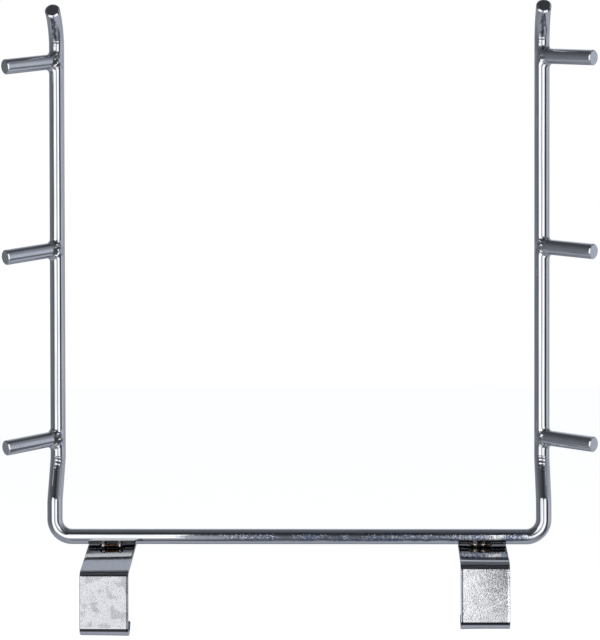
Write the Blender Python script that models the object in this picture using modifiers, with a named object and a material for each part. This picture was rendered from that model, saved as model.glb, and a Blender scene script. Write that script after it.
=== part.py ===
"""A chrome-plated wire rack that hooks over a flat rail and stands up behind it.

One round rod is bent into a U: two uprights joined by a bottom bar. Near the bar each upright jogs
forward, and each top end is bent forward. Three straight pegs are welded to each upright. Two clips
bent from flat strip are welded under the bar and hook over the rail from behind.

Axes: +X to the right, +Y away from the viewer, +Z up. The front of the rack faces -Y.
Origin: midway between the uprights, on the plane where the rail's front face meets the clips, at
the level where the flat part of the lower clip begins, which is the top edge of a seated rail.
"""

import math

import bmesh
import bpy
from mathutils import Vector

# Driving dimensions, in metres and degrees
ROD_DIAMETER = 0.008
UPRIGHT_SPACING = 0.256  # centre to centre
GAP = 0.0003  # clearance kept between pieces that touch

STRIP_WIDTH = 0.025
STRIP_THICKNESS = 0.002
CLIP_X = {"left": -0.098, "right": 0.096}
CLIP_FLAT_TOP = {"left": 0.0, "right": 0.0038}  # the clips are bent by hand and differ a little
CLIP_FLAT_HEIGHT = 0.0245
CLIP_BEND_RADIUS = {"left": 0.004, "right": 0.005}  # to the strip's middle, as is the next
CLIP_CURL_RADIUS = 0.0035
CLIP_CURL_TURN = 145.0
CLIP_LIP_LENGTH = 0.0048

BAR_HEIGHT = 0.0191  # bar's centre above the origin
BAR_SETBACK = 0.030  # bar's centre behind the clips' back faces
UPRIGHT_SETBACK = 0.041
UPRIGHT_LEAN = {"left": 0.0005, "right": 0.0011}  # outward at the top, as bent by hand
TAB_BEHIND_BAR = 0.006  # how far the clips' sloping tabs run on under the bar, past touching it

CORNER_RADIUS = 0.0092  # to the rod's centre, as are the other bends of the rod
JOG_RADIUS = 0.008
JOG_TOP = 0.0405  # above the bar's centre
JOG_BOTTOM = 0.0185
TIP_BEND_START = 0.2602
TIP_BENDS = ((20.0, 0.008), (48.0, 0.0233))  # each tip turns sharply, then gently: (turn, radius)
TIP_STRAIGHT = 0.0003  # past the end of each tip's bend

# The pegs are welded by hand and differ a little.
PEG_HEIGHTS = {  # above the bar's centre
    "left": {"lower": 0.0513, "middle": 0.1516, "upper": 0.2518},
    "right": {"lower": 0.0514, "middle": 0.1518, "upper": 0.2523},
}
PEG_DROOP = {  # below level
    "left": {"lower": 8.0, "middle": 9.4, "upper": 10.1},
    "right": {"lower": 5.1, "middle": 6.7, "upper": 7.1},
}
PEG_LENGTH = {"left": 0.032, "right": 0.033}  # from the upright's axis to the peg's end
PEG_SWING = 40.0  # turned forward from straight sideways
PEG_CHAMFER = 0.0005

PEG_WELD_RADIUS = 0.0007
PEG_WELD_STANDOFF = 0.0002  # between the bead and the upright, besides the usual clearance
CLIP_WELD_RADIUS = 0.0011
CLIP_WELD_LENGTH = 0.012
CLIP_WELD_OFFSET = {"left": 0.0, "right": -0.001}  # sideways from the clip's middle

# Smoothness of the solids
ROD_BEVEL_RESOLUTION = 6
PEG_SIDES = 24
ARC_STEP = 10.0  # degrees between the points of a bend
SADDLE_POINTS = 28
BEAD_BEVEL_RESOLUTION = 2
DROP_SEGMENTS = 16
DROP_RINGS = 12
SHARP_EDGE = 30.0  # degrees between faces that meet in a sharp edge
END_EDGE = 60.0  # degrees, the least at which an edge of a peg's end is chamfered
SLOPE_PASSES = 20  # enough for a clip's slope and bend to settle together

ROD_RADIUS = ROD_DIAMETER / 2
SIDES = {"left": -1, "right": 1}


def clear_scene():
    """Removes whatever the open file holds."""
    for thing in list(bpy.data.objects):
        bpy.data.objects.remove(thing, do_unlink=True)


def new_collection(name):
    collection = bpy.data.collections.new(name)
    bpy.context.scene.collection.children.link(collection)
    return collection


def plated(name, colour, roughness):
    """A metal material of one colour."""
    material = bpy.data.materials.new(name)
    material.use_nodes = True
    shader = material.node_tree.nodes["Principled BSDF"]
    shader.inputs["Base Color"].default_value = (*colour, 1.0)
    shader.inputs["Metallic"].default_value = 1.0
    shader.inputs["Roughness"].default_value = roughness
    return material


def add_object(name, data, collection, material):
    thing = bpy.data.objects.new(name, data)
    collection.objects.link(thing)
    data.materials.append(material)
    return thing


def rounded_path(corners):
    """The points of a path whose corners, given as (point, bend radius), are turned into arcs."""
    points = [corners[0][0]]
    for index in range(1, len(corners) - 1):
        corner, radius = corners[index]
        incoming = (corner - corners[index - 1][0]).normalized()
        outgoing = (corners[index + 1][0] - corner).normalized()
        turn = incoming.angle(outgoing)
        start = corner - incoming * radius * math.tan(turn / 2)
        inward = (outgoing - incoming * incoming.dot(outgoing)).normalized()
        steps = max(2, math.ceil(math.degrees(turn) / ARC_STEP))
        for step in range(steps + 1):
            angle = turn * step / steps
            along = incoming * radius * math.sin(angle)
            points.append(start + along + inward * radius * (1 - math.cos(angle)))
    points.append(corners[-1][0])
    return points


def round_wire(name, points, radius, resolution, cyclic=False):
    """A round wire along the points, as a curve with filled ends."""
    curve = bpy.data.curves.new(name, "CURVE")
    curve.dimensions = "3D"
    curve.bevel_depth = radius
    curve.bevel_resolution = resolution
    curve.use_fill_caps = not cyclic
    spline = curve.splines.new("POLY")
    spline.points.add(len(points) - 1)
    for target, point in zip(spline.points, points):
        target.co = (*point, 1.0)
    spline.use_cyclic_u = cyclic
    spline.use_smooth = True
    return curve


def upright_point(side_name, height):
    """The point on an upright's axis at a height above the bar's centre."""
    lean = UPRIGHT_LEAN[side_name] * (height - JOG_TOP) / (TIP_BEND_START - JOG_TOP)
    x = SIDES[side_name] * (UPRIGHT_SPACING / 2 + lean)
    return Vector((x, UPRIGHT_SETBACK, BAR_HEIGHT + height))


def upright_corners(side_name):
    """One upright from its tip down to the bar's corner, as (point, bend radius)."""
    x = SIDES[side_name] * UPRIGHT_SPACING / 2
    turned = 0.0
    place = upright_point(side_name, TIP_BEND_START)
    direction = Vector((0, 0, 1))
    tip = []
    for turn, radius in TIP_BENDS:
        tangent = radius * math.tan(math.radians(turn) / 2)
        place = place + direction * tangent
        tip.append((place, radius))
        turned += math.radians(turn)
        direction = Vector((0, -math.sin(turned), math.cos(turned)))
        place = place + direction * tangent
    return [
        (place + direction * TIP_STRAIGHT, 0),
        *tip[::-1],
        (upright_point(side_name, JOG_TOP), JOG_RADIUS),
        (Vector((x, BAR_SETBACK, BAR_HEIGHT + JOG_BOTTOM)), JOG_RADIUS),
        (Vector((x, BAR_SETBACK, BAR_HEIGHT)), CORNER_RADIUS),
    ]


def frame_rod(collection):
    """The U-shaped rod: left upright, bottom bar and right upright in one piece."""
    corners = upright_corners("left") + upright_corners("right")[::-1]
    curve = round_wire("frame_rod", rounded_path(corners), ROD_RADIUS, ROD_BEVEL_RESOLUTION)
    return add_object("frame_rod", curve, collection, plated("rod_chrome", (0.80, 0.81, 0.84), 0.08))


def peg_axes(side_name, level_name):
    """A peg's root point and its unit directions: along the peg, sideways and upward across it."""
    side = SIDES[side_name]
    swing = math.radians(PEG_SWING)
    droop = math.radians(PEG_DROOP[side_name][level_name])
    level = Vector((side * math.cos(swing), -math.sin(swing), 0))
    root = upright_point(side_name, PEG_HEIGHTS[side_name][level_name])
    along = level * math.cos(droop) - Vector((0, 0, math.sin(droop)))
    upward = level * math.sin(droop) + Vector((0, 0, math.cos(droop)))
    return root, along, along.cross(upward), upward


def upright_cutter(side_name, collection):
    """The upright with its clearance, as the shape that saddles the pegs' roots."""
    top = upright_point(side_name, JOG_TOP + TIP_BEND_START)
    bottom = upright_point(side_name, JOG_TOP)
    bpy.ops.mesh.primitive_cylinder_add(
        vertices=2 * PEG_SIDES,
        radius=ROD_RADIUS + GAP,
        depth=(top - bottom).length,
        location=(top + bottom) / 2,
        rotation=(top - bottom).to_track_quat("Z", "Y").to_euler(),
    )
    cutter = bpy.context.object
    cutter.name = f"cutter_upright_{side_name}"
    cutter.hide_render = True
    cutter.display_type = "WIRE"
    for owner in list(cutter.users_collection):
        owner.objects.unlink(cutter)
    collection.objects.link(cutter)
    return cutter


def peg(side_name, level_name, cutter, collection):
    """One peg: a round bar with a chamfered end, its root saddled to the upright."""
    root, along, _, _ = peg_axes(side_name, level_name)
    length = PEG_LENGTH[side_name]
    shape = bmesh.new()
    bmesh.ops.create_cone(
        shape,
        cap_ends=True,
        segments=PEG_SIDES,
        radius1=ROD_RADIUS,
        radius2=ROD_RADIUS,
        depth=length,
    )
    name = f"peg_{side_name}_{level_name}"
    mesh = bpy.data.meshes.new(name)
    shape.to_mesh(mesh)
    shape.free()
    mesh.shade_smooth()
    mesh.set_sharp_from_angle(angle=math.radians(SHARP_EDGE))
    thing = add_object(name, mesh, collection, plated(name, (0.74, 0.75, 0.79), 0.10))
    thing.location = root + along * length / 2
    thing.rotation_mode = "QUATERNION"
    thing.rotation_quaternion = along.to_track_quat("Z", "Y")
    chamfer = thing.modifiers.new("end_chamfer", "BEVEL")
    chamfer.width = PEG_CHAMFER
    chamfer.segments = 1
    chamfer.limit_method = "ANGLE"
    chamfer.angle_limit = math.radians(END_EDGE)
    saddle = thing.modifiers.new("saddle", "BOOLEAN")
    saddle.operation = "DIFFERENCE"
    saddle.solver = "EXACT"
    saddle.object = cutter
    return thing


def peg_weld(side_name, level_name, collection):
    """The weld bead round a peg's root, along the saddle where the peg meets the upright."""
    root, along, sideways, upward = peg_axes(side_name, level_name)
    droop = math.radians(PEG_DROOP[side_name][level_name])
    ring = ROD_RADIUS + GAP + PEG_WELD_RADIUS
    reach = ring + PEG_WELD_STANDOFF
    points = []
    for index in range(SADDLE_POINTS):
        angle = math.tau * index / SADDLE_POINTS
        across = ring * math.cos(angle)
        above = ring * math.sin(angle)
        distance = (math.sqrt(reach**2 - across**2) - above * math.sin(droop)) / math.cos(droop)
        points.append(root + along * distance + sideways * across + upward * above)
    name = f"peg_weld_{side_name}_{level_name}"
    curve = round_wire(name, points, PEG_WELD_RADIUS, BEAD_BEVEL_RESOLUTION, cyclic=True)
    return add_object(name, curve, collection, plated(name, (0.62, 0.61, 0.62), 0.30))


def clip_slope(side_name):
    """A clip's bend corner and its tab's slope: the tab runs straight up until it meets the bar."""
    radius = CLIP_BEND_RADIUS[side_name]
    below_bar = ROD_RADIUS + GAP + STRIP_THICKNESS / 2
    corner = Vector((0, -STRIP_THICKNESS / 2, CLIP_FLAT_TOP[side_name] + radius))
    bar = Vector((0, BAR_SETBACK, BAR_HEIGHT))
    # The corner's height depends on the slope, and the slope on the corner's height.
    for _ in range(SLOPE_PASSES):
        reach = bar - corner
        slope = math.atan2(reach.z, reach.y) - math.asin(below_bar / reach.length)
        corner.z = CLIP_FLAT_TOP[side_name] + radius * math.tan(math.radians(45) - slope / 2)
    return corner, slope


def clip_profile(side_name):
    """The side view of one clip along the strip's middle, from the tab's rear end to the lip."""
    corner, slope = clip_slope(side_name)
    uphill = Vector((0, math.cos(slope), math.sin(slope)))
    touching = (Vector((0, BAR_SETBACK, BAR_HEIGHT)) - corner).dot(uphill)
    turn = math.radians(CLIP_CURL_TURN)
    curl_tangent = CLIP_CURL_RADIUS * math.tan(turn / 2)
    flat_bottom = CLIP_FLAT_TOP[side_name] - CLIP_FLAT_HEIGHT
    curl_corner = Vector((0, corner.y, flat_bottom - curl_tangent))
    lip_direction = Vector((0, math.sin(turn), -math.cos(turn)))
    return rounded_path(
        [
            (corner + uphill * (touching + TAB_BEHIND_BAR), 0),
            (corner, CLIP_BEND_RADIUS[side_name]),
            (curl_corner, CLIP_CURL_RADIUS),
            (curl_corner + lip_direction * (curl_tangent + CLIP_LIP_LENGTH), 0),
        ]
    )


def hook_clip(side_name, collection):
    """One clip: the strip's middle surface, given its thickness by Solidify."""
    name = f"hook_clip_{side_name}"
    shape = bmesh.new()
    rows = []
    for point in clip_profile(side_name):
        left = shape.verts.new(point - Vector((STRIP_WIDTH / 2, 0, 0)))
        right = shape.verts.new(point + Vector((STRIP_WIDTH / 2, 0, 0)))
        rows.append((left, right))
    for (left_a, right_a), (left_b, right_b) in zip(rows, rows[1:]):
        shape.faces.new((left_a, left_b, right_b, right_a))
    mesh = bpy.data.meshes.new(name)
    shape.to_mesh(mesh)
    shape.free()
    mesh.shade_smooth()
    mesh.set_sharp_from_angle(angle=math.radians(SHARP_EDGE))
    thing = add_object(name, mesh, collection, plated(name, (0.86, 0.87, 0.89), 0.12))
    thing.location.x = CLIP_X[side_name]
    strip = thing.modifiers.new("strip_thickness", "SOLIDIFY")
    strip.thickness = STRIP_THICKNESS
    strip.offset = 0
    strip.use_even_offset = True
    return thing


def clip_weld(side_name, collection):
    """The weld bead in the wedge between a clip's tab and the bar, a long low drop of metal."""
    name = f"clip_weld_{side_name}"
    from_bar = ROD_RADIUS + GAP + CLIP_WELD_RADIUS
    towards_tab = ROD_RADIUS - CLIP_WELD_RADIUS
    _, slope = clip_slope(side_name)
    downhill = -Vector((0, math.cos(slope), math.sin(slope)))
    into_tab = Vector((0, math.sin(slope), -math.cos(slope)))
    middle = Vector((CLIP_X[side_name] + CLIP_WELD_OFFSET[side_name], BAR_SETBACK, BAR_HEIGHT))
    middle += downhill * math.sqrt(from_bar**2 - towards_tab**2) + into_tab * towards_tab
    shape = bmesh.new()
    bmesh.ops.create_uvsphere(shape, u_segments=DROP_SEGMENTS, v_segments=DROP_RINGS, radius=1.0)
    size = Vector((CLIP_WELD_LENGTH / 2, CLIP_WELD_RADIUS, CLIP_WELD_RADIUS))
    bmesh.ops.scale(shape, vec=size, verts=shape.verts)
    mesh = bpy.data.meshes.new(name)
    shape.to_mesh(mesh)
    shape.free()
    mesh.shade_smooth()
    thing = add_object(name, mesh, collection, plated(name, (0.42, 0.34, 0.28), 0.40))
    thing.location = middle
    return thing


def build():
    clear_scene()
    parts = new_collection("rail_rack")
    cutters = new_collection("cutters")
    frame_rod(parts)
    for side_name in SIDES:
        cutter = upright_cutter(side_name, cutters)
        for level_name in PEG_HEIGHTS[side_name]:
            peg(side_name, level_name, cutter, parts)
            peg_weld(side_name, level_name, parts)
        hook_clip(side_name, parts)
        clip_weld(side_name, parts)


build()
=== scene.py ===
import math

import bmesh
import bpy
from mathutils import Matrix, Vector, noise


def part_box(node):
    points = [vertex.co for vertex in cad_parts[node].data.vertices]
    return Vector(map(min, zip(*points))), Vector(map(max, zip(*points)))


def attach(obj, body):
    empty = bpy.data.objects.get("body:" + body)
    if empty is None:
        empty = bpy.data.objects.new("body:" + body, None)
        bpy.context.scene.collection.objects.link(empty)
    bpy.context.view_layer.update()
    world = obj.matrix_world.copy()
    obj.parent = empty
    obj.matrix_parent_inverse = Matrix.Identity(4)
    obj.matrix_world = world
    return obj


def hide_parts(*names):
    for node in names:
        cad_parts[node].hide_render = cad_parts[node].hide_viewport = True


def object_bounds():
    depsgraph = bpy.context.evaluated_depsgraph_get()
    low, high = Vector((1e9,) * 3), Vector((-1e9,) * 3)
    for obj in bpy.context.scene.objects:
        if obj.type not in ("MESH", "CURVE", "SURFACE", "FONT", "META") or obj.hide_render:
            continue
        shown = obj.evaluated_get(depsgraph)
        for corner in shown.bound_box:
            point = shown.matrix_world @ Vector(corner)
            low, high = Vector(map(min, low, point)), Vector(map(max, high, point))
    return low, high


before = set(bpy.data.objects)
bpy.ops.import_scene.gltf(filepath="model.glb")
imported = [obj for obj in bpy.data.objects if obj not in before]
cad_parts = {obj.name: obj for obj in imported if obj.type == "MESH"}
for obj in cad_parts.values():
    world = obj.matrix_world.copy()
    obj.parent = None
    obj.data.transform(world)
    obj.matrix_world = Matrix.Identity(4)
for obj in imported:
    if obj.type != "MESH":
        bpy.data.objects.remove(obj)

# The looks of a chrome-plated wire rack: a bent rod frame, six welded pegs and two strip clips.
# Everything is in metres. +X is to the right, +Y away from the front, +Z up.

CAD_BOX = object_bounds()

ROD_R = 0.004
SIDES = {"left": -1, "right": 1}
LEVELS = ("lower", "middle", "upper")

# The rod frame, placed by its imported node
ROD_LOW, ROD_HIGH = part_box("frame_rod")
BAR_Z = ROD_LOW.z + ROD_R
UPRIGHT_Y = ROD_HIGH.y - ROD_R
BAR_FORWARD = 0.011  # how far the bar runs in front of the uprights
BAR_Y = UPRIGHT_Y - BAR_FORWARD
UPRIGHT_X = 0.128
UPRIGHT_LEAN = {"left": 0.0005, "right": 0.0011}
CORNER_R = 0.0092
JOG_R = 0.008
JOG_TOP = 0.0405  # heights here are above the bar's centre
JOG_BOTTOM = 0.0185
TIP_BEND_START = 0.2602
TIP_BENDS = ((20.0, 0.008), (48.0, 0.0233))  # each tip turns sharply, then gently: (turn, radius)
TIP_STRAIGHT = 0.0003
END_CHAMFER = 0.0005
TIP_EDGE_DEPTH = 0.00046  # each tip's end face has a wide, shallow chamfer
# Rings from the end face out to the chamfer: (how far in from the rod's surface, how deep)
TIP_EDGE_RINGS = ((0.00096, 0.0), (0.00090, 0.0), (0.00084, 0.00003))

PEG_HEIGHTS = {
    "left": {"lower": 0.0513, "middle": 0.1516, "upper": 0.2518},
    "right": {"lower": 0.0514, "middle": 0.1518, "upper": 0.2523},
}
PEG_DROOP = {
    "left": {"lower": 8.0, "middle": 9.4, "upper": 10.1},
    "right": {"lower": 5.1, "middle": 6.7, "upper": 7.1},
}
PEG_LENGTH = {"left": 0.032, "right": 0.033}
PEG_SWING = math.radians(40)

STRIP_W = 0.025
STRIP_T = 0.002
STRIP_EDGE_R = 0.00035
# Each plate's flat part: the height of its top, and how tall it is
CLIP_FLAT_TOP = {"left": 0.0, "right": 0.0038}
CLIP_FLAT_HEIGHT = 0.0245
CLIP_BEND_R = {"left": 0.004, "right": 0.005}
CLIP_CURL_R = 0.0035
CLIP_CURL_TURN = math.radians(145)
CLIP_LIP = 0.0048
CLIP_GAP = 0.0003  # between a clip's tab and the bar
TAB_BEHIND_BAR = 0.006
# How a clip's strip leans to one side (slope) and is hollowed across (curvature, per metre)
CLIP_TWIST = {"left": -0.012, "right": 0.008}
CLIP_HOLLOW = {"left": 0.4, "right": 1.3}

ROD_SIDES = 56
PEG_SIDES = 64
ARC_STEP = math.radians(3)


# ---------------------------------------------------------------- mesh helpers


def new_shape():
    """An empty mesh whose vertices also remember their place in the straightened piece."""
    shape = bmesh.new()
    shape.verts.layers.float_vector.new("grain")
    return shape


def put(shape, place, grain):
    """Adds a vertex; the materials' marks follow its grain, the place before any bending."""
    vert = shape.verts.new(place)
    vert[shape.verts.layers.float_vector["grain"]] = Vector(grain)
    return vert


def finish_mesh(name, shape, material, node, sharp_degrees=35):
    """Turns a mesh into a smooth-shaded piece that stands for a CAD node."""
    bmesh.ops.recalc_face_normals(shape, faces=shape.faces)
    mesh = bpy.data.meshes.new(name)
    shape.to_mesh(mesh)
    shape.free()
    mesh.shade_smooth()
    mesh.set_sharp_from_angle(angle=math.radians(sharp_degrees))
    mesh.materials.append(material)
    piece = bpy.data.objects.new(name, mesh)
    bpy.context.scene.collection.objects.link(piece)
    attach(piece, "root")
    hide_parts(node)


def bridge(shape, rings, closed=False):
    """Quads between rings of vertices that all have the same count."""
    pairs = list(zip(rings, rings[1:]))
    if closed:
        pairs.append((rings[-1], rings[0]))
    for first, second in pairs:
        for index, vert in enumerate(first):
            after = (index + 1) % len(first)
            shape.faces.new((vert, first[after], second[after], second[index]))


def fan(shape, ring, place, grain):
    """Triangles from a ring to one point, which caps it."""
    centre = put(shape, place, grain)
    for index, vert in enumerate(ring):
        shape.faces.new((vert, ring[(index + 1) % len(ring)], centre))


def rounded_path(corners, step=ARC_STEP, longest=0.004):
    """A path with its corners, given as (point, bend radius), turned into arcs, in short steps."""
    points = [corners[0][0]]
    for index in range(1, len(corners) - 1):
        corner, radius = corners[index]
        incoming = (corner - corners[index - 1][0]).normalized()
        outgoing = (corners[index + 1][0] - corner).normalized()
        turn = incoming.angle(outgoing)
        start = corner - incoming * radius * math.tan(turn / 2)
        inward = (outgoing - incoming * incoming.dot(outgoing)).normalized()
        count = max(4, math.ceil(turn / step))
        for place in range(count + 1):
            angle = turn * place / count
            along = incoming * radius * math.sin(angle)
            points.append(start + along + inward * radius * (1 - math.cos(angle)))
    points.append(corners[-1][0])
    dense = [points[0]]
    for first, second in zip(points, points[1:]):
        count = max(1, math.ceil((second - first).length / longest))
        dense.extend(first.lerp(second, place / count) for place in range(1, count + 1))
    return dense


def path_frames(points, side):
    """For each point: the distance to it, itself, the tangent and two directions across.

    The directions across turn as little as they can."""
    frames = []
    distance = 0.0
    across = Vector(side)
    for index, point in enumerate(points):
        before = points[max(index - 1, 0)]
        after = points[min(index + 1, len(points) - 1)]
        tangent = (after - before).normalized()
        across = (across - tangent * across.dot(tangent)).normalized()
        if index:
            distance += (point - before).length
        frames.append((distance, point, tangent, across.copy(), tangent.cross(across)))
    return frames


def smooth_step(value, start, end):
    """0 before start, 1 after end, and a smooth rise between them."""
    share = max(0.0, min(1.0, (value - start) / (end - start)))
    return share * share * (3 - 2 * share)


# ---------------------------------------------------------------- node helpers


def add(tree, kind, strength=None, **inputs):
    """Adds a node; each named input is a number, a colour or another node's output."""
    node = tree.nodes.new(kind)
    if strength is not None:
        node.inputs["Strength"].default_value = strength
    for name, value in inputs.items():
        connect(tree, node.inputs[name], value)
    return node


def connect(tree, socket, value):
    """Sets a socket to a plain value, or links another node's output to it."""
    if isinstance(value, bpy.types.NodeSocket):
        tree.links.new(value, socket)
    else:
        socket.default_value = value


def math_node(tree, operation, *values):
    node = tree.nodes.new("ShaderNodeMath")
    node.operation = operation
    for index, value in enumerate(values):
        connect(tree, node.inputs[index], value)
    return node.outputs[0]


def map_range(tree, value, start, end, to_start=0.0, to_end=1.0, kind="LINEAR"):
    node = tree.nodes.new("ShaderNodeMapRange")
    node.interpolation_type = kind
    for index, number in enumerate((value, start, end, to_start, to_end)):
        connect(tree, node.inputs[index], number)
    return node.outputs[0]


def mix_colour(tree, share, first, second):
    """The first colour where share is 0, the second where it is 1."""
    node = tree.nodes.new("ShaderNodeMix")
    node.data_type = "RGBA"
    connect(tree, node.inputs[0], share)
    connect(tree, node.inputs[6], first)
    connect(tree, node.inputs[7], second)
    return node.outputs[2]


# ---------------------------------------------------------------- materials


class Metal:
    """A plated metal whose marks follow the piece's grain: x and y across it, z along it."""

    def __init__(self, name):
        self.material = bpy.data.materials.new(name)
        self.material.use_nodes = True
        self.tree = self.material.node_tree
        self.shader = self.tree.nodes["Principled BSDF"]
        self.shader.inputs["Metallic"].default_value = 1
        self.grain = add(self.tree, "ShaderNodeAttribute")
        self.grain.attribute_name = "grain"
        parts = add(self.tree, "ShaderNodeSeparateXYZ", Vector=self.grain.outputs["Vector"])
        self.across, self.above, self.along = parts.outputs
        place = add(self.tree, "ShaderNodeTexCoord").outputs["Object"]
        self.x, self.y, self.z = add(self.tree, "ShaderNodeSeparateXYZ", Vector=place).outputs
        self.normal = None

    def pattern(self, *sizes, detail=3.0, rough=0.55, shift=0.0):
        """Noise from 0 to 1 with blobs of these sizes, in metres, across, above and along."""
        scale = tuple(1 / size for size in sizes) if len(sizes) == 3 else (1 / sizes[0],) * 3
        place = add(self.tree, "ShaderNodeMapping", Vector=self.grain.outputs["Vector"], Scale=scale)
        place.inputs["Location"].default_value = (shift, 0, 0)
        kind = "ShaderNodeTexNoise"
        node = add(self.tree, kind, Vector=place.outputs[0], Scale=1.0, Detail=detail, Roughness=rough)
        return node.outputs["Fac"]

    def ramp(self, value, start, end, low=0.0, high=1.0):
        """Goes smoothly from low at start to high at end, and stays level beyond them."""
        return map_range(self.tree, value, start, end, low, high, "SMOOTHSTEP")

    def times(self, first, second):
        return math_node(self.tree, "MULTIPLY", first, second)

    def plus(self, first, second):
        return math_node(self.tree, "ADD", first, second)

    def press(self, height, depth):
        """Adds relief: height from 0 to 1 stands for this depth in metres."""
        node = add(self.tree, "ShaderNodeBump", strength=1.0, Height=height, Distance=depth)
        if self.normal is not None:
            self.tree.links.new(self.normal, node.inputs["Normal"])
        self.normal = node.outputs["Normal"]

    def finish(self, colour, roughness):
        connect(self.tree, self.shader.inputs["Base Color"], colour)
        connect(self.tree, self.shader.inputs["Roughness"], roughness)
        self.tree.links.new(self.normal, self.shader.inputs["Normal"])
        return self.material


# Colours of the plating, of the marks on it, of its painted shade and reflections, and of the welds
BRIGHT = (0.74, 0.75, 0.765, 1)
GREY = (0.60, 0.61, 0.63, 1)
BRUSHED_GREY = (0.66, 0.67, 0.70, 1)
DULL = (0.38, 0.41, 0.46, 1)
SCUFF_NAVY = (0.20, 0.24, 0.34, 1)
# The painted dark reflection in the tips' bends
BEND_REFLECTION_GREY = (0.12, 0.12, 0.14, 1)
# Each plate's tone; the left one is painted darker, a painted reflection
PLATE_REFLECTION_TONES = {"left": (0.53, 0.54, 0.57, 1), "right": (0.84, 0.85, 0.87, 1)}
PLATE_BLOTCH = (0.34, 0.35, 0.38, 1)
SHADE = (0.10, 0.105, 0.115, 1)
DEEP_SHADE = (0.04, 0.04, 0.05, 1)
WHITE = (1, 1, 1, 1)
WELD_GREY = (0.50, 0.50, 0.52, 1)
WELD_BROWN = (0.07, 0.045, 0.035, 1)
WELD_ORANGE = (0.34, 0.19, 0.10, 1)
TACK_METAL = (0.60, 0.59, 0.56, 1)

# The places below where a mark fades in are (where there is none, where it is full).
# The bar's scuffs: from the left along x, then towards its ends, then round to its front
SCUFFS_BEGIN_X = (-0.055, -0.020)
SCUFFS_FROM_MIDDLE = (0.125, 0.115)
SCUFFS_FORWARD = (0.0030, 0.0037)
SCUFF_PITS = 0.00015
# The streak of painted dark reflection in each tip's bend: sideways, round to the bend's inner
# side, up from the bend's start and down from the rod's highest point
STREAK_ASIDE = (0.0012, 0.0007)
STREAK_WANDER = 0.0022
STREAK_INWARD = (0.0022, 0.0032)
STREAK_FROM_BEND = (0.0005, 0.0030)
STREAK_FROM_TOP = (0.0078, 0.0084)


def bar_scuffs(metal):
    """1 on the scuffed patches of the bar's front, 0 elsewhere."""
    from_middle = math_node(metal.tree, "ABSOLUTE", metal.along)
    near_middle = metal.ramp(from_middle, *SCUFFS_FROM_MIDDLE)
    on_bar = metal.times(metal.ramp(metal.x, *SCUFFS_BEGIN_X), near_middle)
    on_front = metal.ramp(metal.above, *SCUFFS_FORWARD)
    patches = metal.ramp(metal.pattern(0.004, 0.004, 0.012, detail=2), 0.36, 0.56)
    return metal.times(metal.times(on_bar, on_front), patches)


def painted_tip_reflection(metal):
    """1 along the ragged streak of painted dark reflection on the inner side of each tip's bend, 0
    elsewhere.
    """
    ragged = metal.pattern(0.0022, detail=3, rough=0.7)
    wander = math_node(metal.tree, "MULTIPLY_ADD", ragged, 2 * STREAK_WANDER, -STREAK_WANDER)
    aside = math_node(metal.tree, "ABSOLUTE", metal.plus(metal.across, wander))
    narrow = metal.ramp(aside, *STREAK_ASIDE)
    streak = metal.times(narrow, metal.ramp(metal.above, *STREAK_INWARD))
    rising = [BAR_Z + TIP_BEND_START + past for past in STREAK_FROM_BEND]
    streak = metal.times(streak, metal.ramp(metal.z, *rising))
    falling = [ROD_HIGH.z - under for under in STREAK_FROM_TOP]
    return metal.times(streak, metal.ramp(metal.z, *falling))


def rod_chrome():
    """Bright plating over drawn rod: faint lines along it, a pebbled skin, scuffs along the bar, and a
    painted dark reflection in each tip's bend.
    """
    metal = Metal("rod_chrome")
    lines = metal.pattern(0.0007, 0.0007, 0.03, detail=2)
    pebbles = metal.pattern(0.0016, detail=1)
    specks = metal.pattern(0.0006, 0.0006, 0.0011, detail=2, rough=0.6)
    scuffed = bar_scuffs(metal)
    colour = mix_colour(metal.tree, metal.ramp(lines, 0.35, 0.65), BRIGHT, GREY)
    dark = metal.times(scuffed, metal.ramp(specks, 0.36, 0.50))
    colour = mix_colour(metal.tree, dark, colour, SCUFF_NAVY)
    # A painted dark reflection runs along the inner side of each tip's bend.
    colour = mix_colour(metal.tree, metal.times(painted_tip_reflection(metal), 0.85), colour, BEND_REFLECTION_GREY)
    metal.press(pebbles, 0.000005)
    metal.press(lines, 0.000002)
    metal.press(specks, metal.plus(metal.times(scuffed, SCUFF_PITS), 0.0000005))
    return metal.finish(colour, metal.ramp(specks, 0.4, 0.7, 0.03, 0.05))


def peg_chrome():
    """Plated drawn bar: lines along it and mottled sawn ends."""
    metal = Metal("peg_chrome")
    lines = metal.pattern(0.0005, 0.0005, 0.012, detail=3, rough=0.7)
    mottle = metal.pattern(0.0008, detail=4, rough=0.7)
    pebbles = metal.pattern(0.0018, detail=1)
    colour = mix_colour(metal.tree, metal.ramp(lines, 0.35, 0.7), BRIGHT, GREY)
    colour = mix_colour(metal.tree, metal.ramp(mottle, 0.55, 0.75), colour, DULL)
    metal.press(pebbles, 0.000008)
    metal.press(lines, 0.000004)
    metal.press(mottle, 0.000002)
    return metal.finish(colour, metal.ramp(mottle, 0.3, 0.7, 0.03, 0.08))


# The scratch on the right plate runs up to the right through this point.
SCRATCH_X = 0.1020
SCRATCH_Z = -0.0120
SCRATCH_SLOPE = 0.50
SCRATCH_HALF_LENGTH = 0.0080
SCRATCH_HALF_WIDTH = 0.00045
# Places on a clip, along x, y or z; along its strip from where it bends down into the plate,
# towards the lip; or below the plate's flat part
LEFT_TO_RIGHT_X = (-0.01, 0.01)
PLATE_BEGINS = (-0.0030, -0.0015)
PLATE_ENDS_BELOW = (0.0004, -0.0002)
SPECKS_X = (0.086, 0.104)
SPECKS_Z = (-0.024, 0.002)
# Painted shade on each tab, from none to its darkest towards the bar
TAB_SHADE_Y = (0.008, 0.026)
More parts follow.
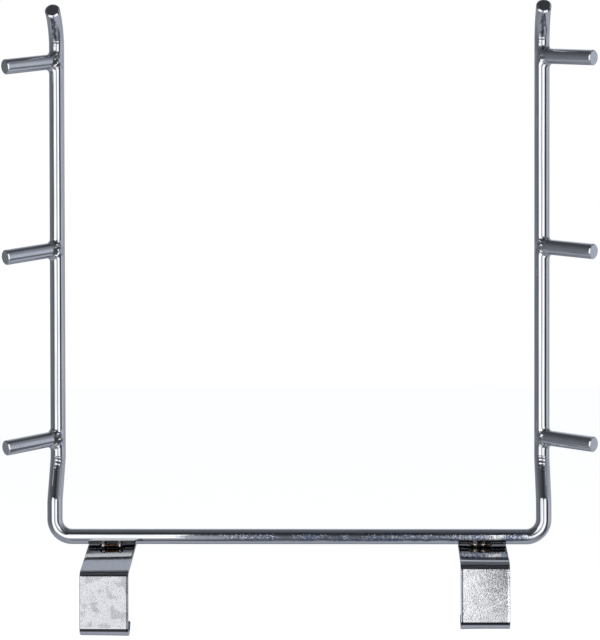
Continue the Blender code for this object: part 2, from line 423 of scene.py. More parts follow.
# Where the painted dark reflections on each plate's bends fade in and out
UPPER_LINE = ((-0.0032, -0.0028), (-0.0020, -0.0024))
LOWER_LINE_BELOW = ((0.0002, 0.0006), (0.0023, 0.0016))
LINE_WANDER = 0.0012


def scratch(metal):
    """1 along the scratch, 0 elsewhere."""
    run = math_node(metal.tree, "SUBTRACT", metal.x, SCRATCH_X)
    rise = math_node(metal.tree, "SUBTRACT", metal.z, SCRATCH_Z)
    off = math_node(metal.tree, "SUBTRACT", rise, metal.times(run, SCRATCH_SLOPE))
    aside = math_node(metal.tree, "ABSOLUTE", off)
    near = metal.ramp(aside, SCRATCH_HALF_WIDTH, SCRATCH_HALF_WIDTH / 2)
    length = math_node(metal.tree, "ABSOLUTE", run)
    return metal.times(near, metal.ramp(length, SCRATCH_HALF_LENGTH, SCRATCH_HALF_LENGTH * 0.8))


def between(metal, value, line):
    """1 inside a line, given as the places where it fades in and out again."""
    return metal.times(metal.ramp(value, *line[0]), metal.ramp(value, *line[1]))


def below_flat(metal):
    """How far a point is below the flat part of its own clip's plate."""
    lowest = [CLIP_FLAT_TOP[name] - CLIP_FLAT_HEIGHT for name in SIDES]
    bottom = metal.ramp(metal.x, *LEFT_TO_RIGHT_X, *lowest)
    return math_node(metal.tree, "SUBTRACT", bottom, metal.z)


def dark_specks(metal, grit, broad):
    """1 on specks: the right plate's upper right is thick with them, the rest has few."""
    corner = metal.times(metal.ramp(metal.x, *SPECKS_X), metal.ramp(metal.z, *SPECKS_Z))
    more = metal.plus(metal.times(corner, 0.12), metal.times(broad, 0.05))
    return metal.ramp(metal.plus(grit, more), 0.62, 0.68)


def plate_colour(metal, grit, broad):
    """Each plate's tone, the left one painted darker as a painted reflection, with darker blotches and
    specks; the left one has more blotches.
    """
    on_right = metal.ramp(metal.x, *LEFT_TO_RIGHT_X)
    # The left plate is painted darker than the right: a painted reflection.
    colour = mix_colour(metal.tree, on_right, PLATE_REFLECTION_TONES["left"], PLATE_REFLECTION_TONES["right"])
    # Darker blotches, more of them on the left plate.
    blotched = metal.times(metal.ramp(broad, 0.48, 0.60), metal.ramp(on_right, 1.0, 0.0, 0.15, 0.7))
    colour = mix_colour(metal.tree, blotched, colour, PLATE_BLOTCH)
    specks = metal.times(dark_specks(metal, grit, broad), 0.80)
    return mix_colour(metal.tree, specks, colour, SHADE)


def strip_chrome():
    """Plated flat strip: mirror-like tab with painted shade towards the bar, and a pebbled plate with
    painted reflections in its tone and along its bends.
    """
    metal = Metal("strip_chrome")
    brushed = metal.pattern(0.0006, 0.004, 0.02, detail=3, rough=0.7)
    grit = metal.pattern(0.00045, detail=1, rough=0.5)
    broad = metal.pattern(0.007, detail=2)
    below = below_flat(metal)
    on_tab = metal.ramp(metal.along, *PLATE_BEGINS[::-1])
    on_plate = metal.ramp(metal.along, *PLATE_BEGINS)
    on_plate = metal.times(on_plate, metal.ramp(below, *PLATE_ENDS_BELOW))
    colour = mix_colour(metal.tree, metal.ramp(brushed, 0.3, 0.7), BRIGHT, BRUSHED_GREY)
    colour = mix_colour(metal.tree, on_plate, colour, plate_colour(metal, grit, broad))
    colour = mix_colour(metal.tree, metal.times(scratch(metal), 0.9), colour, WHITE)
    # Painted shade darkens each tab towards the bar, where tab and bar meet.
    colour = mix_colour(metal.tree, metal.ramp(metal.y, *TAB_SHADE_Y, 0.0, 0.75), colour, SHADE)
    # A painted dark reflection runs across each plate just above its flat part, and another just below
    # it.
    edge = metal.plus(metal.along, metal.times(broad, LINE_WANDER))
    upper = metal.times(between(metal, edge, UPPER_LINE), 0.8)
    colour = mix_colour(metal.tree, upper, colour, SHADE)
    lower = metal.times(between(metal, below, LOWER_LINE_BELOW), 0.9)
    colour = mix_colour(metal.tree, lower, colour, DEEP_SHADE)
    roughness = metal.plus(metal.ramp(broad, 0.35, 0.65, 0.05, 0.08), metal.times(on_plate, 0.04))
    metal.press(broad, 0.00001)
    metal.press(grit, metal.plus(metal.times(on_plate, 0.000012), 0.000001))
    metal.press(brushed, metal.plus(metal.times(on_tab, 0.000002), 0.0000005))
    return metal.finish(colour, roughness)


def plated_weld():
    """Plating over a rough weld, with lumps, pits and greyer stains."""
    metal = Metal("plated_weld")
    lumps = metal.pattern(0.0014, detail=2, rough=0.5)
    pits = metal.pattern(0.0005, detail=2, rough=0.6)
    colour = mix_colour(metal.tree, metal.ramp(lumps, 0.45, 0.65), BRIGHT, WELD_GREY)
    metal.press(lumps, 0.00003)
    metal.press(pits, 0.000005)
    return metal.finish(colour, metal.ramp(pits, 0.35, 0.7, 0.05, 0.15))


TACK_BRIGHT_FROM = (0.0010, 0.0012)  # how far out from a clip weld's axis its tacks turn bright


def tinted_weld():
    """A thinly plated weld, dark brown with orange stains, whose raised tacks are bright."""
    metal = Metal("tinted_weld")
    lumps = metal.pattern(0.0012, detail=3, rough=0.6)
    stains = metal.pattern(0.0022, detail=3, shift=3.0)
    colour = mix_colour(metal.tree, metal.ramp(stains, 0.58, 0.70), WELD_BROWN, WELD_ORANGE)
    depth = math_node(metal.tree, "POWER", metal.above, 2.0)
    height = math_node(metal.tree, "POWER", metal.along, 2.0)
    out = math_node(metal.tree, "SQRT", metal.plus(depth, height))
    colour = mix_colour(metal.tree, metal.ramp(out, *TACK_BRIGHT_FROM), colour, TACK_METAL)
    metal.press(lumps, 0.00008)
    return metal.finish(colour, metal.ramp(stains, 0.3, 0.7, 0.14, 0.30))


ROD_CHROME = rod_chrome()
PEG_CHROME = peg_chrome()
STRIP_CHROME = strip_chrome()
PLATED_WELD = plated_weld()
TINTED_WELD = tinted_weld()


# ---------------------------------------------------------------- the bent rod


def upright_point(side_name, height):
    """The point on an upright's axis at a height above the bar's centre."""
    lean = UPRIGHT_LEAN[side_name] * (height - JOG_TOP) / (TIP_BEND_START - JOG_TOP)
    return Vector((SIDES[side_name] * (UPRIGHT_X + lean), UPRIGHT_Y, BAR_Z + height))


def upright_corners(side_name):
    """One upright from its tip down to the bar's corner, as (point, bend radius)."""
    x = SIDES[side_name] * UPRIGHT_X
    turned = 0.0
    place = upright_point(side_name, TIP_BEND_START)
    direction = Vector((0, 0, 1))
    tip = []
    for turn, radius in TIP_BENDS:
        tangent = radius * math.tan(math.radians(turn) / 2)
        place = place + direction * tangent
        tip.append((place, radius))
        turned += math.radians(turn)
        direction = Vector((0, -math.sin(turned), math.cos(turned)))
        place = place + direction * tangent
    return [
        (place + direction * TIP_STRAIGHT, 0),
        *tip[::-1],
        (upright_point(side_name, JOG_TOP), JOG_R),
        (Vector((x, BAR_Y, BAR_Z + JOG_BOTTOM)), JOG_R),
        (Vector((x, BAR_Y, BAR_Z)), CORNER_R),
    ]


# The rod's length past the start of a tip's bend
TIP_RUN = sum(math.radians(turn) * radius for turn, radius in TIP_BENDS) + TIP_STRAIGHT
TIP_WRINKLE_DEPTH = {"left": 0.00014, "right": 0.00010}
TIP_WRINKLE_PLACE = {"left": 0.0014, "right": 0.0009}  # past the start of the bend
TIP_WRINKLE_PITCH = 0.0019
JOG_WRINKLE_HEIGHT = 0.0374
JOG_WRINKLE_SPREAD = 0.0032
JOG_WRINKLE_DEPTH = {"left": 0.00030, "right": 0.00028}
JOG_WRINKLE_PITCH = 0.0020


def tip_wrinkle(side_name, from_end, tangent, outward):
    """How far the inner side of a tip's bend is pressed in by the wrinkles of its bending."""
    inner = Vector((0, -abs(tangent.z), -abs(tangent.y)))
    facing = max(0.0, outward.dot(inner))
    off = (TIP_RUN - from_end - TIP_WRINKLE_PLACE[side_name]) / TIP_WRINKLE_PITCH
    if facing == 0 or abs(off) > 3:
        return 0.0
    wave = math.cos(math.tau * off + 2.5 * outward.x)
    return TIP_WRINKLE_DEPTH[side_name] * facing**2 * wave * math.exp(-off * off)


def jog_wrinkle(side_name, point, outward):
    """How far the rod's front is pressed in by the wrinkles at the upper bend of its jog."""
    off = point.z - BAR_Z - JOG_WRINKLE_HEIGHT
    facing = max(0.0, -outward.y)
    if facing == 0 or abs(off) > 4 * JOG_WRINKLE_SPREAD:
        return 0.0
    wave = math.cos(math.tau * off / JOG_WRINKLE_PITCH + 2 * outward.x)
    strength = math.exp(-((off / JOG_WRINKLE_SPREAD) ** 2))
    return JOG_WRINKLE_DEPTH[side_name] * facing**2 * strength * (0.3 + wave)


BEND_SPACING = 0.00028
STRAIGHT_SPACING = 0.004


def ring_spacing(point):
    """How far apart the rod's rings may be: the bends and their wrinkles need many."""
    height = point.z - BAR_Z
    in_tip = height > TIP_BEND_START - 0.007
    in_jog = JOG_BOTTOM - 0.008 < height < JOG_TOP + 0.006
    in_corner = abs(point.x) > UPRIGHT_X - CORNER_R - 0.002 and height < JOG_BOTTOM
    return BEND_SPACING if in_tip or in_jog or in_corner else STRAIGHT_SPACING


def build_frame_rod():
    """The whole U in one piece, with chamfered flat ends and the marks of its bending."""
    corners = upright_corners("left") + upright_corners("right")[::-1]
    frames = path_frames(rounded_path(corners, step=math.radians(1.5), longest=0.0003), (1, 0, 0))
    total = frames[-1][0]
    shape = new_shape()
    rings = []

    def add_ring(station, inset, inward=0.0):
        distance, point, tangent, across, upward = station
        point = point + tangent * inward
        side_name = "left" if point.x < 0 else "right"
        ring = []
        for index in range(ROD_SIDES):
            angle = math.tau * index / ROD_SIDES
            outward = across * math.cos(angle) + upward * math.sin(angle)
            pressed = tip_wrinkle(side_name, min(distance, total - distance), tangent, outward)
            pressed += jog_wrinkle(side_name, point, outward)
            radius = ROD_R - inset - pressed
            grain = (ROD_R * math.cos(angle), ROD_R * math.sin(angle), distance - total / 2)
            ring.append(put(shape, point + outward * radius, grain))
        rings.append(ring)

    for inset, depth in TIP_EDGE_RINGS:
        add_ring(frames[0], inset, depth)
    last = -1.0
    for station in frames:
        distance, point = station[:2]
        if not TIP_EDGE_DEPTH <= distance <= total - TIP_EDGE_DEPTH:
            continue
        if distance - last >= ring_spacing(point) or station is frames[-2]:
            add_ring(station, 0.0)
            last = distance
    for inset, depth in reversed(TIP_EDGE_RINGS):
        add_ring(frames[-1], inset, -depth)
    bridge(shape, rings)
    fan(shape, rings[0], frames[0][1], (0, 0, -total / 2))
    fan(shape, rings[-1], frames[-1][1], (0, 0, total / 2))
    finish_mesh("rod_frame", shape, ROD_CHROME, "frame_rod", 40)


# ---------------------------------------------------------------- pegs and their welds


PEG_STRAIGHT_FROM = 0.007  # the rings are flat from here on, and follow the upright before it
PEG_STRAIGHT_RINGS = 12


class PegAxes:
    """Where a peg starts on its upright's axis, and its directions."""

    def __init__(self, side_name, level_name):
        side = SIDES[side_name]
        self.droop = math.radians(PEG_DROOP[side_name][level_name])
        self.level = Vector((side * math.cos(PEG_SWING), -math.sin(PEG_SWING), 0))
        self.root = upright_point(side_name, PEG_HEIGHTS[side_name][level_name])
        down = Vector((0, 0, math.sin(self.droop)))
        self.along = self.level * math.cos(self.droop) - down
        self.upward = self.level * math.sin(self.droop) + Vector((0, 0, math.cos(self.droop)))
        self.sideways = self.along.cross(self.upward)
        self.level_side = Vector((self.sideways.x, self.sideways.y, 0)).normalized()

    def saddle(self, across, above):
        """How far along the peg a point beside its axis meets the upright's surface."""
        reach = math.sqrt(max(0.0, ROD_R**2 - across**2))
        return (reach - above * math.sin(self.droop)) / math.cos(self.droop)


def build_peg(side_name, level_name):
    """A round peg: its root fits the upright, its end is sawn flat and chamfered."""
    axes = PegAxes(side_name, level_name)
    length = PEG_LENGTH[side_name]
    rings = []
    shape = new_shape()

    def ring_at(distance_of, radius):
        ring = []
        for index in range(PEG_SIDES):
            angle = math.tau * index / PEG_SIDES
            across = radius * math.cos(angle)
            above = radius * math.sin(angle)
            distance = distance_of(across, above)
            place = axes.root + axes.along * distance
            place += axes.sideways * across + axes.upward * above
            grain = (across, above, distance + PEG_HEIGHTS[side_name][level_name])
            ring.append(put(shape, place, grain))
        rings.append(ring)

    for share in (0.25, 0.5, 0.75, 1.0):
        ring_at(axes.saddle, ROD_R * share)
    for share in (0.33, 0.66):
        flat = PEG_STRAIGHT_FROM * share
        ring_at(lambda across, above: flat + axes.saddle(across, above) * (1 - share), ROD_R)
    straight = length - END_CHAMFER - PEG_STRAIGHT_FROM
    for place in range(PEG_STRAIGHT_RINGS + 1):
        distance = PEG_STRAIGHT_FROM + straight * place / PEG_STRAIGHT_RINGS
        ring_at(lambda across, above: distance, ROD_R)
    ring_at(lambda across, above: length, ROD_R - END_CHAMFER)
    ring_at(lambda across, above: length, ROD_R * 0.5)
    bridge(shape, rings)
    inner = axes.saddle(0, 0)
    fan(shape, rings[0], axes.root + axes.along * inner, (0, 0, inner))
    fan(shape, rings[-1], axes.root + axes.along * length, (0, 0, length))
    name = f"peg_{side_name}_{level_name}"
    finish_mesh(f"{name}_fine", shape, PEG_CHROME, name)


WELD_BLEND = 0.0025  # size of the hollow that the weld fills between peg and upright
WELD_LUMPS = {"left": 0.00026, "right": 0.00010}
WELD_LUMP_SIZE = {"left": 0.0011, "right": 0.0014}
WELD_AROUND = 108
WELD_ACROSS = 8  # steps from the joint to either foot
WELD_SINK = 0.00004  # how far its feet go under the metal
WELD_DEEPEST = 0.0018
WELD_INSIDE = 0.0006  # how far inside the joint its hidden edge lies
WELD_GRAIN_SHIFT = 0.001  # moves each weld's marks, times its seed
WELD_PULL = 1.3  # how soon the weld ends behind the peg's root


class WeldField:
    """How far a point is outside the peg and the upright, smoothly blended into one."""

    def __init__(self, axes, side_name, seed):
        self.axes = axes
        self.lumps = WELD_LUMPS[side_name]
        self.size = WELD_LUMP_SIZE[side_name]
        self.seed = Vector((seed * 7.3, seed * 3.1, 0))

    def apart(self, point):
        """Distances outside the upright and outside the peg."""
        offset = point - self.axes.root
        from_upright = math.hypot(offset.x, offset.y) - ROD_R
        reach = offset.dot(self.axes.along)
        from_peg = (offset - self.axes.along * reach).length - ROD_R
        return from_upright, from_peg + WELD_PULL * max(0.0, -reach)

    def outside(self, point):
        from_upright, from_peg = self.apart(point)
        overlap = max(0.0, 1 - abs(from_upright - from_peg) / WELD_BLEND)
        ripple = noise.fractal((point + self.seed) / self.size, 0.8, 2.0, 2)
        filled = overlap**2 * WELD_BLEND / 4 + overlap * self.lumps * ripple
        return min(from_upright, from_peg) - filled


def farthest(measure, limit=0.006):
    """The smallest reach at which a growing measure gets to zero."""
    low, high = 0.0, limit
    for _ in range(16):
        middle = (low + high) / 2
        if measure(middle) < 0:
            low = middle
        else:
            high = middle
    return high


class WeldSpoke:
    """One direction round a peg's root, with the ways out from the joint along both rods."""

    def __init__(self, axes, field, angle):
        self.axes = axes
        self.field = field
        self.across = math.cos(angle)
        self.above = math.sin(angle)
        self.beside = axes.sideways * self.across + axes.upward * self.above
        along = axes.saddle(ROD_R * self.across, ROD_R * self.above)
        self.joint = axes.root + axes.along * along + self.beside * ROD_R
        self.turn = math.asin(max(-1.0, min(1.0, self.across)))

    def on_peg(self, reach):
        """The place and the outward direction on the peg, this far from the joint."""
        return self.joint + self.axes.along * reach, self.beside

    def on_upright(self, reach):
        """The place and the outward direction on the upright, this far from the joint."""
        axes = self.axes
        turned = self.turn + reach * self.across / ROD_R
        radial = axes.level * math.cos(turned) + axes.level_side * math.sin(turned)
        centre = Vector((axes.root.x, axes.root.y, self.joint.z + reach * self.above))
        return centre + radial * ROD_R, radial

    def foot(self, surface, sign):
        """How far from the joint the blend ends on one of the two surfaces."""

        def measure(reach):
            from_upright, from_peg = self.field.apart(surface(reach)[0])
            return sign * (from_upright - from_peg) - WELD_BLEND

        return farthest(measure)

    def skin(self):
        """Points from the weld's foot on the peg to its foot on the upright, and a hidden one."""
        peg_reach = self.foot(self.on_peg, 1)
        upright_reach = self.foot(self.on_upright, -1)
        joint_normal = (self.on_peg(0)[1] + self.on_upright(0)[1]).normalized()
        spots = []
        for part in range(-WELD_ACROSS, WELD_ACROSS + 1):
            share = abs(part) / WELD_ACROSS
            if part < 0:
                place, normal = self.on_peg(peg_reach * share)
            else:
                place, normal = self.on_upright(upright_reach * share)
            outward = joint_normal.lerp(normal, smooth_step(share, 0, 1)).normalized()
            if share == 1:
                spots.append(place - normal * WELD_SINK)
            else:
                spots.append(self.lifted(place, outward))
        return spots, self.joint - joint_normal * WELD_INSIDE

    def lifted(self, place, outward):
        """Where the weld's skin is, straight out from a place on the metal."""
        lift = farthest(lambda reach: self.field.outside(place + outward * reach), WELD_DEEPEST)
        return place + outward * lift


def build_peg_weld(side_name, level_name, seed):
    """The weld round a peg's root, whose skin flows from the peg to the upright."""
    axes = PegAxes(side_name, level_name)
    field = WeldField(axes, side_name, seed)
    shape = new_shape()
    rings = []
    for step in range(WELD_AROUND):
        spots, inside = WeldSpoke(axes, field, math.tau * step / WELD_AROUND).skin()
        ring = []
        for spot in spots:
            ring.append(put(shape, spot, spot - axes.root + field.seed * WELD_GRAIN_SHIFT))
        ring.append(put(shape, inside, inside - axes.root))
        rings.append(ring)
    bridge(shape, rings, closed=True)
    node = f"peg_weld_{side_name}_{level_name}"
    finish_mesh(f"weld_{side_name}_{level_name}", shape, PLATED_WELD, node, 60)


# ---------------------------------------------------------------- clips


def clip_slope(side_name):
    """A clip's bend corner and its tab's slope: the tab runs straight up until it meets the bar."""
    radius = CLIP_BEND_R[side_name]
    below_bar = ROD_R + CLIP_GAP + STRIP_T / 2
    corner = Vector((0, -STRIP_T / 2, CLIP_FLAT_TOP[side_name] + radius))
    for _ in range(20):
        reach = Vector((0, BAR_Y, BAR_Z)) - corner
        slope = math.atan2(reach.z, reach.y) - math.asin(below_bar / reach.length)
        corner.z = CLIP_FLAT_TOP[side_name] + radius * math.tan(math.pi / 4 - slope / 2)
    return corner, slope


def clip_profile(side_name):
    """The side view of one clip along the strip's middle, from the tab's rear end to the lip."""
    corner, slope = clip_slope(side_name)
    uphill = Vector((0, math.cos(slope), math.sin(slope)))
    touching = (Vector((0, BAR_Y, BAR_Z)) - corner).dot(uphill)
    curl_tangent = CLIP_CURL_R * math.tan(CLIP_CURL_TURN / 2)
    flat_bottom = CLIP_FLAT_TOP[side_name] - CLIP_FLAT_HEIGHT
    curl_corner = Vector((0, corner.y, flat_bottom - curl_tangent))
    lip = Vector((0, math.sin(CLIP_CURL_TURN), -math.cos(CLIP_CURL_TURN)))
    return rounded_path(
        [
            (corner + uphill * (touching + TAB_BEHIND_BAR), 0),
            (corner, CLIP_BEND_R[side_name]),
            (curl_corner, CLIP_CURL_R),
            (curl_corner + lip * (curl_tangent + CLIP_LIP), 0),
        ],
        longest=0.0008,
    )


STRIP_EDGE_STEPS = 4
STRIP_ACROSS_STEPS = 24
SHARPEST_EDGE = 0.00005


def strip_section(inset):
    """The strip's cross-section as (across, through) points: a rectangle with rounded edges."""
    radius = max(STRIP_EDGE_R - inset, SHARPEST_EDGE)
    half_w = STRIP_W / 2 - inset - radius
    half_t = STRIP_T / 2 - inset - radius
    section = []
    for quarter, (w, t) in enumerate(((1, 1), (-1, 1), (-1, -1), (1, -1))):
        for step in range(STRIP_EDGE_STEPS + 1):
            angle = math.pi / 2 * (quarter + step / STRIP_EDGE_STEPS)
            across = w * half_w + radius * math.cos(angle)
            section.append((across, t * half_t + radius * math.sin(angle)))
        if quarter % 2 == 0:
            for step in range(1, STRIP_ACROSS_STEPS):
                share = 1 - 2 * step / STRIP_ACROSS_STEPS
                section.append((w * half_w * share, t * (half_t + radius)))
    return section


def build_clip(side_name):
    """One clip: the strip swept along its side view, with rounded edges and ends."""
    low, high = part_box(f"hook_clip_{side_name}")
    centre_x = (low.x + high.x) / 2
    frames = path_frames(clip_profile(side_name), (0, 0, 1))
    total = frames[-1][0]
    bend = next(f[0] for f in frames if f[1].z < CLIP_FLAT_TOP[side_name] + 0.0001)
    hollow, twist = CLIP_HOLLOW[side_name] / 2, CLIP_TWIST[side_name]
    proud = hollow * (STRIP_W / 2) ** 2 + abs(twist) * STRIP_W / 2
    end_round = STRIP_EDGE_R
    inner = [f for f in frames if end_round * 1.5 < f[0] < total - end_round * 1.5]
    stations = [(frames[0], 0.0, end_round), (frames[0], end_round, 0.0)]
    stations += [(f, 0.0, 0.0) for f in inner]
    stations += [(frames[-1], -end_round, 0.0), (frames[-1], 0.0, end_round)]
    shape = new_shape()
    rings = []
    for (distance, point, tangent, through, _), shift, inset in stations:
        ring = []
        for across, depth in strip_section(inset):
            bowed = hollow * across**2 - twist * across - proud
            place = point + tangent * shift + through * (depth + bowed)
            place.x += centre_x + across
            grain = (across, depth, distance + shift - bend)
            ring.append(put(shape, place, grain))
        rings.append(ring)
    bridge(shape, rings)
    shape.faces.new(rings[0])
    shape.faces.new(rings[-1][::-1])
    name = f"hook_clip_{side_name}"
    finish_mesh(f"clip_{side_name}_fine", shape, STRIP_CHROME, name, 40)


# Tacks along each clip's weld: (place along it, height of its bump), from the weld's middle.
CLIP_TACKS = {
    "left": ((-0.0042, 0.00055), (0.0048, 0.00060)),
    "right": ((-0.0030, 0.00050), (0.0015, 0.00025), (0.0040, 0.00020)),
}
TACK_WIDTH = 0.0010
SEAM_SIDES = 28
SEAM_STEPS = 100
SEAM_ROUGHNESS = 0.16
SEAM_HEIGHT = 0.85  # of the CAD weld's radius, without the tacks
SEAM_BLUNTNESS = 0.6  # below 1, its ends are blunter than an ellipse's
SEAM_LUMPS = 700  # lumps per metre along it
SEAM_LUMPS_AROUND = 1.2


def build_clip_weld(side_name):
    """The weld between the bar and a clip's tab: a low seam with raised tacks."""
    low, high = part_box(f"clip_weld_{side_name}")
    centre = (low + high) / 2
    half = (high.x - low.x) / 2
    radius = (high.z - low.z) / 2
    shape = new_shape()
    rings = []
    for step in range(1, SEAM_STEPS):
        share = -math.cos(math.pi * step / SEAM_STEPS)
        x = half * share
        height = radius * SEAM_HEIGHT * math.sqrt(1 - share * share) ** SEAM_BLUNTNESS
        for place, bump in CLIP_TACKS[side_name]:
            height += bump * math.exp(-(((x - place) / TACK_WIDTH) ** 2))
        ring = []
        for index in range(SEAM_SIDES):
            angle = math.tau * index / SEAM_SIDES
            outward = Vector((0, math.cos(angle), math.sin(angle)))
            spot = Vector((centre.x + x, 0, 0)) * SEAM_LUMPS + outward * SEAM_LUMPS_AROUND
            rough = 1 + SEAM_ROUGHNESS * noise.fractal(spot, 0.9, 2.0, 3)
            offset = Vector((x, 0, 0)) + outward * height * rough
            ring.append(put(shape, centre + offset, offset + Vector((centre.x, 0, 0))))
        rings.append(ring)
    bridge(shape, rings)
    for ring, sign in ((rings[0], -1), (rings[-1], 1)):
        end = Vector((sign * half, 0, 0))
        fan(shape, ring, centre + end, end)
    node = f"clip_weld_{side_name}"
    finish_mesh(f"seam_{side_name}", shape, TINTED_WELD, node, 60)


build_frame_rod()
for side_name in SIDES:
    for number, level_name in enumerate(LEVELS):
        build_peg(side_name, level_name)
        build_peg_weld(side_name, level_name, number + 3 * SIDES[side_name])
    build_clip(side_name)
    build_clip_weld(side_name)


# ---------------------------------------------------------------- studio

CAMERA_X = 0.04425
CAMERA_AHEAD = 1.0749  # in front of the uprights
CAMERA_ABOVE_BAR = 0.1006
CAMERA_TURN = (2.312, 0.684, -0.182)  # yaw, pitch and roll, in degrees
CAMERA_LENS = 114.32
FLOOR_SIZE = 12
FLOOR_DROP = 0.0002  # the floor lies just under the object
FLOOR_TONE = (0.9, 0.9, 0.9, 1)
FLOOR_GLOW = 0.80
CARD_GLOW = 1.45
# The near and far upright edges of each card of light, as (x, y, bottom, top)
CARDS = {
    "light_left": ((-0.17, -1.05, -0.42, 0.64), (-0.55, -0.50, -0.27, 0.46)),
    "light_right": ((0.16, -1.05, -0.42, 0.56), (1.18, -1.47, -0.80, 0.95)),
}
SKY_TINT = (0.94, 1.0, 1.14)


def build_camera():
    """A long lens a little to the right of the middle, almost level."""
    camera = bpy.data.objects.new("camera", bpy.data.cameras.new("camera"))
    bpy.context.scene.collection.objects.link(camera)
    camera.location = (CAMERA_X, UPRIGHT_Y - CAMERA_AHEAD, BAR_Z + CAMERA_ABOVE_BAR)
    yaw, pitch, roll = (math.radians(degrees) for degrees in CAMERA_TURN)
    turn = Matrix.Rotation(yaw, 3, "Z") @ Matrix.Rotation(math.pi / 2 + pitch, 3, "X")
    camera.rotation_euler = (turn @ Matrix.Rotation(roll, 3, "Z")).to_euler()
    camera.data.lens = CAMERA_LENS
    camera.data.clip_start = 0.05
    camera.data.clip_end = 50
    bpy.context.scene.camera = camera


def build_floor():
    """A wide pale floor under the clips. It is lit, but the chrome doesn't mirror it."""
    height = CAD_BOX[0].z - FLOOR_DROP
    bpy.ops.mesh.primitive_plane_add(size=FLOOR_SIZE, location=(0, 0, height))
    floor = bpy.context.object
    floor.name = "floor"
    floor.visible_glossy = False
    material = bpy.data.materials.new("floor")
    material.use_nodes = True
    shader = material.node_tree.nodes["Principled BSDF"]
    shader.inputs["Base Color"].default_value = FLOOR_TONE
    shader.inputs["Roughness"].default_value = 1
    shader.inputs["Specular IOR Level"].default_value = 0
    shader.inputs["Emission Color"].default_value = WHITE
    shader.inputs["Emission Strength"].default_value = FLOOR_GLOW
    floor.data.materials.append(material)


def build_card(name, near, far):
    """A tall soft light beside the camera: seen in the chrome, but not by the camera."""
    shape = bmesh.new()
    near_low, near_high, far_low, far_high = (
        shape.verts.new((x, y, z)) for x, y, *ends in (near, far) for z in ends
    )
    shape.faces.new((near_low, far_low, far_high, near_high))
    mesh = bpy.data.meshes.new(name)
    shape.to_mesh(mesh)
    shape.free()
    card = bpy.data.objects.new(name, mesh)
    bpy.context.scene.collection.objects.link(card)
    material = bpy.data.materials.new(name)
    material.use_nodes = True
    tree = material.node_tree
    tree.nodes.clear()
    glow = add(tree, "ShaderNodeEmission", strength=CARD_GLOW)
    output = add(tree, "ShaderNodeOutputMaterial")
    tree.links.new(glow.outputs[0], output.inputs["Surface"])
    mesh.materials.append(material)
    card.visible_camera = False
    card.visible_shadow = False


def sky_ring(tree, azimuth, stops):
    """One ring's brightness all the way round, from its (azimuth, brightness) stops."""
    ramp = add(tree, "ShaderNodeValToRGB")
    elements = ramp.color_ramp.elements
    while len(elements) > 1:
        elements.remove(elements[-1])
    for index, (degrees, value) in enumerate(stops):
        place = (degrees + 180) / 360
        element = elements[0] if index == 0 else elements.new(place)
        element.position = place
        element.color = (*(value * tint for tint in SKY_TINT), 1)
    tree.links.new(azimuth, ramp.inputs[0])
    return ramp.outputs["Color"]


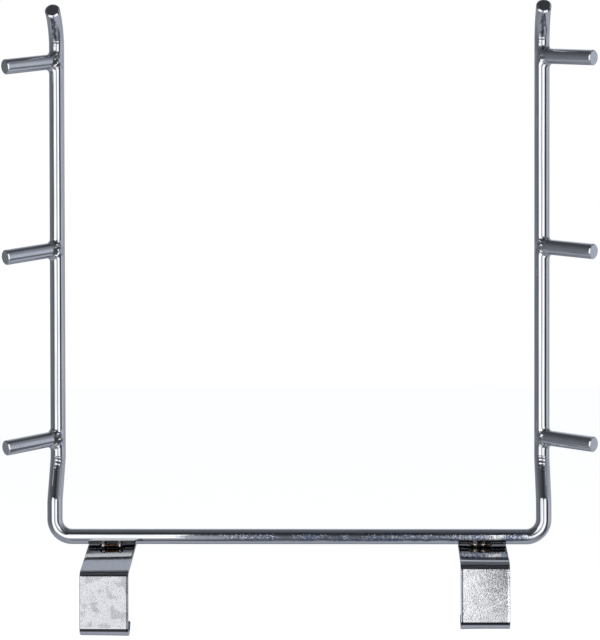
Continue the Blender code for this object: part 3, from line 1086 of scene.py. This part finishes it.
# What the chrome mirrors away from the two lights, as rings of the sky from straight down to
# straight up. Each is (elevation, stops), and its stops are (azimuth, brightness), typed in to
# match the photo's chrome. Azimuth is 0 towards the front, where the camera stands, and grows
# to the right. Overhead and low in front it is dark; to the right and behind it is light.
SKY = (
    (-90, ((0, 0.45),)),
    (-76, ((-180, 0.42), (-60, 0.45), (0, 0.50), (60, 0.48), (120, 0.34), (180, 0.42))),
    (-66, ((-180, 0.40), (-120, 0.32), (-60, 0.40), (-20, 0.42), (-14, 0.10), (-7, 0.10),
           (-3, 0.40), (60, 0.36), (90, 0.34), (104, 0.46), (130, 0.46), (180, 0.38))),
    (-56, ((-180, 0.35), (-120, 0.38), (-60, 0.40), (-20, 0.38), (-14, 0.12), (-7, 0.12),
           (-4, 0.26), (10, 0.26), (18, 0.40), (60, 0.30), (90, 0.28), (102, 0.50), (140, 0.50),
           (180, 0.35))),
    (-42, ((-180, 0.25), (-150, 0.30), (-100, 0.40), (-60, 0.38), (-30, 0.40), (-8, 0.32),
           (-4, 0.08), (10, 0.07), (20, 0.40), (60, 0.18), (76, 0.10), (86, 0.13), (96, 0.50),
           (140, 0.52), (180, 0.25))),
    (-28, ((-180, 0.25), (-120, 0.32), (-84, 0.27), (-50, 0.25), (-12, 0.55), (-6, 0.45),
           (-3, 0.12), (3, 0.12), (6, 0.45), (12, 0.50), (36, 0.20), (44, 0.10), (66, 0.08),
           (76, 0.13), (86, 0.16), (96, 0.48), (150, 0.50), (180, 0.28))),
    (-14, ((-180, 0.35), (-120, 0.30), (-80, 0.19), (-58, 0.15), (-40, 0.20), (-12, 0.62),
           (-6, 0.55), (-3, 0.15), (3, 0.15), (6, 0.60), (12, 0.70), (36, 0.20), (44, 0.07),
           (67, 0.07), (70, 0.58), (90, 0.54), (120, 0.46), (180, 0.45))),
    (-3, ((-180, 0.42), (-125, 0.24), (-110, 0.17), (-98, 0.22), (-78, 0.22), (-58, 0.13),
          (-40, 0.20), (-12, 0.70), (-6, 0.65), (-3, 0.17), (3, 0.17), (6, 0.80), (16, 0.80),
          (36, 0.15), (42, 0.06), (66, 0.06), (69, 0.64), (85, 0.58), (98, 0.60), (110, 0.56),
          (120, 0.42), (180, 0.42))),
    (14, ((-180, 0.50), (-120, 0.25), (-76, 0.17), (-55, 0.15), (-12, 0.60), (-6, 0.50),
          (-3, 0.12), (3, 0.12), (6, 0.50), (14, 0.65), (30, 0.25), (44, 0.08), (64, 0.08),
          (68, 0.60), (90, 0.54), (150, 0.52), (180, 0.55))),
    (27, ((-180, 0.33), (-150, 0.28), (-110, 0.20), (-76, 0.13), (-40, 0.12), (-14, 0.20),
          (-5, 0.05), (5, 0.05), (14, 0.20), (30, 0.14), (50, 0.10), (66, 0.40), (90, 0.44),
          (150, 0.36), (180, 0.33))),
    (34, ((-180, 0.90), (-165, 0.60), (-120, 0.20), (-76, 0.13), (-40, 0.12), (-12, 0.06),
          (12, 0.06), (40, 0.14), (70, 0.32), (110, 0.35), (165, 0.60), (180, 0.90))),
    (41, ((-180, 0.62), (-160, 0.45), (-100, 0.12), (-60, 0.10), (-12, 0.03), (12, 0.03),
          (40, 0.14), (70, 0.30), (110, 0.34), (160, 0.45), (180, 0.62))),
    (52, ((-180, 0.26), (-140, 0.18), (-90, 0.07), (-50, 0.15), (-12, 0.05), (12, 0.05),
          (40, 0.20), (76, 0.26), (100, 0.12), (124, 0.09), (150, 0.16), (180, 0.30))),
    (64, ((-180, 0.16), (-150, 0.16), (-120, 0.06), (-30, 0.08), (30, 0.08), (80, 0.12),
          (110, 0.07), (150, 0.10), (180, 0.16))),
    (90, ((0, 0.15),)),
)


def build_sky():
    """The room as the chrome mirrors it; looked at directly it is plain white."""
    world = bpy.data.worlds.new("studio")
    bpy.context.scene.world = world
    world.use_nodes = True
    tree = world.node_tree
    tree.nodes.clear()
    direction = add(tree, "ShaderNodeTexCoord").outputs["Generated"]
    parts = add(tree, "ShaderNodeSeparateXYZ", Vector=direction).outputs
    frontward = math_node(tree, "MULTIPLY", parts["Y"], -1)
    angle = math_node(tree, "ARCTAN2", parts["X"], frontward)
    azimuth = math_node(tree, "MULTIPLY_ADD", angle, 1 / math.tau, 0.5)
    elevation = math_node(tree, "MULTIPLY", math_node(tree, "ARCSINE", parts["Z"]), 180 / math.pi)
    colour = sky_ring(tree, azimuth, SKY[0][1])
    for (below, _), (above, stops) in zip(SKY, SKY[1:]):
        share = map_range(tree, elevation, below, above)
        colour = mix_colour(tree, share, colour, sky_ring(tree, azimuth, stops))
    room = add(tree, "ShaderNodeBackground", Color=colour)
    white = add(tree, "ShaderNodeBackground", Color=WHITE)
    path = add(tree, "ShaderNodeLightPath")
    seen = add(tree, "ShaderNodeMixShader")
    tree.links.new(path.outputs["Is Camera Ray"], seen.inputs[0])
    tree.links.new(room.outputs[0], seen.inputs[1])
    tree.links.new(white.outputs[0], seen.inputs[2])
    output = add(tree, "ShaderNodeOutputWorld")
    tree.links.new(seen.outputs[0], output.inputs["Surface"])


build_camera()
build_floor()
for name, edges in CARDS.items():
    build_card(name, *edges)
build_sky()
bpy.context.scene.view_settings.view_transform = "Standard"
